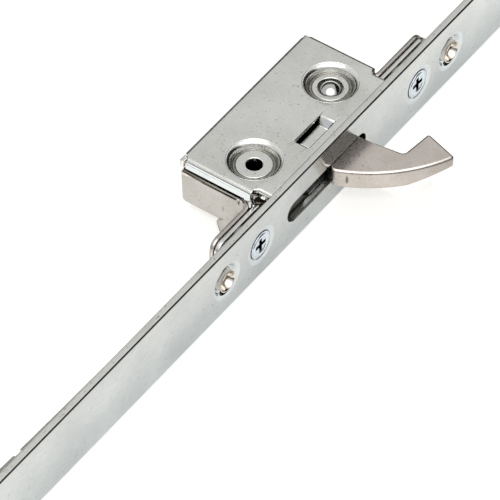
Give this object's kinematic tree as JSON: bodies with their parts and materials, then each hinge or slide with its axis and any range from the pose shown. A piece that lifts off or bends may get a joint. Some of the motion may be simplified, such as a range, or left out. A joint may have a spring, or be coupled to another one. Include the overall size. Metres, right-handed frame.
{
  "type": "multipoint door lock hook unit",
  "caption": "Hook case of a multipoint door lock on a length of its flat strip: a sliding rail behind the strip swings a hook bolt out through a slot.",
  "frame": {"origin": "on the back face of the strip, which seats in the door, midway between the two countersunk door screw holes", "axes": "+X along the strip, +Y from the strip back through the case, +Z out of the large dimpled face of the case"},
  "size_m": [0.28, 0.0607, 0.024],
  "materials": {
    "strip_steel": "satin zinc plate",
    "rail_steel": "zinc plate",
    "rack_steel": "plain",
    "cover_zinc": "matte zinc plate",
    "body_casting": "pinkish satin nickel tone",
    "hook_casting": "pinkish satin nickel tone",
    "pin_steel": "polished",
    "screw_zinc": "bright bluish zinc plate",
    "collar_steel": "zinc plate",
    "bush_steel": "warm satin plate"
  },
  "bodies": {
    "case": {"faceplate": "strip_steel", "case_cover": "cover_zinc", "case_body": "body_casting", "hook_pivot_pin": "pin_steel", "hook_spacer_upper": "pin_steel", "hook_spacer_lower": "pin_steel", "case_screw_left": "screw_zinc", "case_screw_right": "screw_zinc", "screw_collar_left": "collar_steel", "screw_collar_right": "collar_steel", "door_bush_left": "bush_steel", "door_bush_right": "bush_steel"},
    "rail": {"drive_rail": "rail_steel", "rack": "rack_steel", "rack_rivets": "pin_steel"},
    "hook": {"hook": "hook_casting"}
  },
  "joints": [
    {"name": "rail_slide", "type": "slide", "parent": "case", "child": "rail", "axis": [-1, 0, 0], "range_m": [0, 0.01107]},
    {"name": "hook_swing", "type": "hinge", "parent": "case", "child": "hook", "pos_m": [0.0176, 0.0136, 0], "axis": [0, 0, -1], "range_deg": [0, 70.5]}
  ],
  "couplings": [
    {"joint": "hook_swing", "follows": "rail_slide", "rad_per_m": 111.11}
  ]
}
